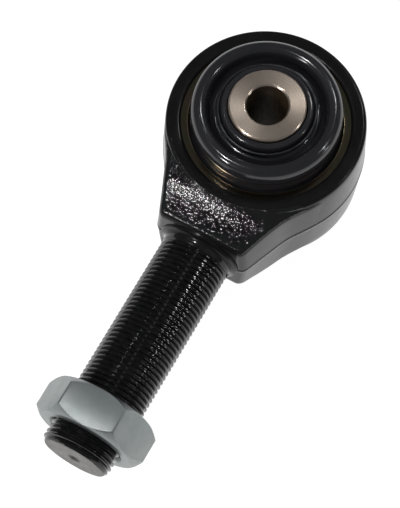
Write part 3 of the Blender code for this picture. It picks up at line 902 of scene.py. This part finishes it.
def make_spacer(side, face_look, bore_shade_look):
    profile = list(reversed(spacer_profile()))
    name = SIDE_NAMES[side] + "_spacer_finished"
    spacer = lathe(name, mirrored(profile, side), steps=160, sharp_deg=30)
    spacer.data.materials.append(face_look)
    # The bore's material carries painted shade
    spacer.data.materials.append(bore_shade_look)
    for polygon in spacer.data.polygons:
        centre = polygon.center
        on_bore = math.hypot(centre.x, centre.y) < BOLT_R + 0.1 * MM
        below_chamfer = abs(centre.z) < JOINT_HALF_WIDTH - SPACER_CHAMFER - 0.1 * MM
        polygon.material_index = 1 if on_bore and below_chamfer else 0
    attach(spacer, "ball")
    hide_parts(SIDE_NAMES[side] + "_spacer")


def make_ball(look):
    """Sphere with two flats and a chamfered bore."""
    edge = math.degrees(math.asin(BALL_FLAT_Z / BALL_R))
    chamfer = 0.5 * MM
    profile = arc((0.0, 0.0), BALL_R, start_deg=edge, end_deg=-edge, count=40)
    profile += [(BALL_BORE_R + chamfer, -BALL_FLAT_Z), (BALL_BORE_R, -BALL_FLAT_Z + chamfer),
                (BALL_BORE_R, BALL_FLAT_Z - chamfer), (BALL_BORE_R + chamfer, BALL_FLAT_Z)]
    ball = lathe("ball_finished", profile, steps=120)
    ball.data.materials.append(look)
    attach(ball, "ball")
    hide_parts("ball")


# ---------------------------------------------------------------- boots and rings

LIP_RING_R = 16.75 * MM          # centre line of the wire ring round the boot's collar
LIP_RING_Z = 28.6 * MM
LIP_RING_WIRE_R = 0.5 * MM


def boot_outline():
    """Section of the boot in mm, from the flange up the skirt, over the fold to the collar.

    Returned as the visible outer side and the hidden inner side, both as
    (radius, height) running from the flange to the collar.
    """
    outer = [(28.3, 16.3), (28.3, 17.7), (26.9, 17.75), (26.25, 18.3), (26.0, 19.6), (25.75, 21.4),
             (25.7, 23.2), (25.95, 25.0), (26.05, 27.0), (25.65, 28.9), (24.6, 30.3), (23.1, 30.95),
             (21.6, 30.55), (20.6, 29.4), (20.25, 28.0), (20.0, 26.7), (19.3, 25.7), (18.2, 25.2),
             (17.1, 25.3), (16.25, 25.9), (15.95, 27.2), (15.9, 28.6), (15.9, 29.8), (15.55, 30.7),
             (14.9, 31.0), (13.75, 31.0)]
    inner = [(25.2, 16.3), (24.4, 17.3), (24.0, 19.5), (23.85, 21.5), (23.85, 23.5), (24.1, 25.5),
             (24.15, 27.0), (23.75, 28.3), (23.0, 28.95), (22.3, 28.6), (22.05, 27.6), (21.9, 26.3),
             (21.2, 25.0), (19.9, 23.8), (18.2, 23.35), (16.4, 23.4), (14.8, 23.6), (13.75, 23.9)]
    return ([(r * MM, z * MM) for r, z in outer], [(r * MM, z * MM) for r, z in inner])


def boot_weight(radius, height):
    """How far a place on the boot follows the tilt: 0 at the flange, 1 on the collar."""
    above_flange = smooth_step((height - 17.0 * MM) / (4.0 * MM))
    up_skirt = smooth_step((height - 18.6 * MM) / (13.0 * MM))
    inwards = smooth_step((26.5 * MM - radius) / (9.5 * MM))
    return min(1.0, above_flange * max(inwards, 0.62 * up_skirt + 0.38 * inwards))


def make_boot(side, look):
    outer, inner = boot_outline()
    section = list(reversed(spline(outer, per_span=4))) + spline(inner, per_span=3)
    profile = [(r, side * z) for r, z in section]
    boot = lathe(SIDE_NAMES[side] + "_boot_finished", profile, steps=192, sharp_deg=60)
    boot.data.materials.append(look)
    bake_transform(boot, "boots", "lip_rings", start=(0, 0, side * 18 * MM), end=(0, 0, side * 31 * MM))
    share = boot.data.attributes["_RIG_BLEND"]
    for i, vertex in enumerate(boot.data.vertices):
        place = vertex.co
        share.data[i].value = boot_weight(math.hypot(place.x, place.y), abs(place.z))
    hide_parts(SIDE_NAMES[side] + "_boot")


def make_lip_ring(side, look):
    centre = (LIP_RING_R, side * LIP_RING_Z)
    profile = arc(centre, LIP_RING_WIRE_R, start_deg=90, end_deg=-270, count=16)[:-1]
    ring = lathe(SIDE_NAMES[side] + "_lip_ring_finished", profile, steps=144, sharp_deg=80)
    ring.data.materials.append(look)
    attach(ring, "lip_rings")
    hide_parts(SIDE_NAMES[side] + "_lip_ring")


def make_retaining_ring(side, look):
    """Spiral ring: two flat turns, one on the other, with a free end on each."""
    inner_r, outer_r = 26.8 * MM, 29.7 * MM
    play = 0.01 * MM
    half = RING_THICK / 2
    steps = 180
    arc_steps = steps - 3
    vertices, faces = [], []
    for turn in range(2):
        low = RING_Z + turn * half + play
        high = low + half - 2 * play
        outline = rounded([(inner_r, low), (inner_r, high), (outer_r, high), (outer_r, low)],
                          radius=0.12 * MM, steps=2)
        base = len(vertices)
        for i in range(arc_steps + 1):
            # The gap between the free ends is by the +Y axis, the second turn's 12 degrees on
            angle = TAU * (i + 45 + 6 * turn) / steps
            for radius, height in outline:
                vertices.append((radius * math.cos(angle), radius * math.sin(angle), side * height))
        faces += [tuple(base + k for k in face)
                  for face in capped_grid(arc_steps + 1, len(outline))]
    name = SIDE_NAMES[side] + "_retaining_ring_finished"
    ring = add_object(name, clean(mesh_from(name, vertices, faces), FINE_WELD))
    smooth(ring, sharp_deg=40)
    ring.data.materials.append(look)
    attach(ring, "housing")
    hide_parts(SIDE_NAMES[side] + "_retaining_ring")


def make_nipple_spring(look):
    """The coil behind the nipple's check ball; it closes up as the ball is pressed in."""
    low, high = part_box("nipple_spring")
    wire_r = 0.14 * MM
    coil_r = (high.x - low.x) / 2 - wire_r
    bottom, top = low.y + wire_r, high.y - wire_r
    turns, turn_steps, round_steps = 6, 28, 10
    count = turns * turn_steps
    vertices = []
    for i in range(count + 1):
        along = i / count
        # The end turns lie closer together than the working ones
        share = 0.5 - 0.5 * math.cos(math.pi * along)
        angle = TAU * i / turn_steps
        y = between(bottom, top, 0.35 * along + 0.65 * share)
        for k in range(round_steps):
            around = TAU * k / round_steps
            radius = coil_r + wire_r * math.cos(around)
            vertices.append((radius * math.cos(angle), y + wire_r * math.sin(around),
                             radius * math.sin(angle)))
    mesh = mesh_from("nipple_spring", vertices, capped_grid(count + 1, round_steps))
    spring = add_object("nipple_spring_finished", clean(mesh, FINE_WELD))
    smooth(spring, sharp_deg=70)
    spring.data.materials.append(look)
    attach(spring, "housing")
    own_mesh(spring)
    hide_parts("nipple_spring")


def dress_cad_node(node, look):
    """A hidden CAD piece keeps its shape and gets a finished material."""
    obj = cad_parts[node]
    obj.data.materials.clear()
    obj.data.materials.append(look)


# ---------------------------------------------------------------- camera and light

CAMERA_LENS = 139.2                      # in mm, for a sensor 36 mm long
CAMERA_TARGET = Vector((0.76, -47.33, 0.0)) * MM
CAMERA_DISTANCE = 677.3                  # in mm
CAMERA_ANGLES = (28.84, 69.19, 0.65)     # azimuth from -Y towards +X, elevation and roll


def place_camera():
    """Camera on the side of the shank, high above the eye."""
    camera = bpy.data.cameras.new("camera")
    camera.sensor_width = 36.0
    camera.lens = CAMERA_LENS
    camera.clip_start = 0.01
    obj = add_object("camera", camera)
    azimuth, elevation, roll = (math.radians(angle) for angle in CAMERA_ANGLES)
    back = Vector((math.sin(azimuth) * math.cos(elevation),
                   -math.cos(azimuth) * math.cos(elevation), math.sin(elevation)))
    right = Vector((math.cos(azimuth), math.sin(azimuth), 0.0))
    up = back.cross(right)
    right, up = (right * math.cos(roll) + up * math.sin(roll),
                 up * math.cos(roll) - right * math.sin(roll))
    place = CAMERA_TARGET + back * CAMERA_DISTANCE * MM
    obj.matrix_world = Matrix((
        (right.x, up.x, back.x, place.x), (right.y, up.y, back.y, place.y),
        (right.z, up.z, back.z, place.z), (0, 0, 0, 1)))
    bpy.context.scene.camera = obj


LIGHT_AIM = Vector((0.0, -0.03, 0.0))    # in metres: in the eye, on the shank's side


def soft_light(name, direction, distance, size, power):
    """A rectangular area light that shines on the eye from a direction."""
    light = bpy.data.lights.new(name, "AREA")
    light.shape = "RECTANGLE"
    light.size, light.size_y = size
    light.energy = power
    obj = add_object(name, light)
    toward = Vector(direction).normalized()
    obj.location = LIGHT_AIM + toward * distance
    obj.rotation_euler = toward.to_track_quat("Z", "Y").to_euler()


def place_floor():
    """White paper, 1 mm below the lower spacer and lit from within, so that it stays plain."""
    reach = 3
    corners = [(-reach, -reach, 0), (reach, -reach, 0), (reach, reach, 0), (-reach, reach, 0)]
    floor = add_object("floor", mesh_from("floor", corners, [(0, 1, 2, 3)]))
    floor.location.z = -JOINT_HALF_WIDTH - 1.0 * MM
    paper = bpy.data.materials.new("white_paper")
    paper.use_nodes = True
    shader = paper.node_tree.nodes["Principled BSDF"]
    shader.inputs["Base Color"].default_value = (0.3, 0.3, 0.3, 1.0)
    shader.inputs["Roughness"].default_value = 0.9
    shader.inputs["Emission Color"].default_value = (1.0, 1.0, 1.0, 1.0)
    shader.inputs["Emission Strength"].default_value = 0.95
    floor.data.materials.append(paper)


def light_studio():
    """A pale floor, a dim even surround and seven softboxes."""
    world = bpy.data.worlds.new("surround")
    bpy.context.scene.world = world
    world.use_nodes = True
    surround = world.node_tree.nodes["Background"]
    surround.inputs["Color"].default_value = (0.93, 0.96, 1.0, 1.0)
    surround.inputs["Strength"].default_value = 0.16
    soft_light("back_box", (0.06, 0.57, 0.82), 1.1, (0.07, 0.05), 1.1)
    soft_light("top_box", (-0.255, -0.19, 0.945), 1.2, (0.07, 0.06), 3.4)
    soft_light("front_box", (-0.31, -0.755, 0.574), 1.1, (0.10, 0.08), 2.6)
    soft_light("right_box", (0.655, 0.278, 0.705), 1.1, (0.06, 0.07), 0.75)
    soft_light("low_right_box", (0.95, 0.25, 0.18), 1.1, (0.10, 0.10), 0.4)
    soft_light("left_row_box", (-0.34, 0.235, 0.91), 2.4, (0.05, 0.035), 0.5)
    soft_light("right_row_box", (0.85, 0.235, 0.47), 2.4, (0.07, 0.05), 1.0)
    place_floor()
    bpy.context.scene.view_settings.view_transform = "Standard"


# ---------------------------------------------------------------- assembly

def build():
    place_camera()
    light_studio()
    make_body()
    make_nut()
    steel = turned_steel("stainless_steel", dark=(0.49, 0.40, 0.325), light=(0.70, 0.595, 0.50),
                         anisotropy=0.60, rough=0.27)
    # The spacers' bolt bores get a material with painted shade
    bore = bore_painted_shade()
    rubber, gold, dark = boot_rubber(), yellow_zinc(), spring_steel()
    polymer, seal = race_polymer(), seal_rubber()
    make_ball(chromed_steel())
    dress_cad_node("bearing_sleeve", steel)
    for side in (UP, DOWN):
        name = SIDE_NAMES[side]
        make_spacer(side, steel, bore)
        make_boot(side, rubber)
        make_lip_ring(side, dark)
        make_retaining_ring(side, gold)
        dress_cad_node(name + "_race", polymer)
        dress_cad_node(name + "_washer", steel)
        dress_cad_node(name + "_circlip", dark)
        dress_cad_node(name + "_o_ring", seal)
    dress_cad_node("grease_nipple", zinc_plate())
    dress_cad_node("nipple_ball", dark)
    make_nipple_spring(dark)


build()
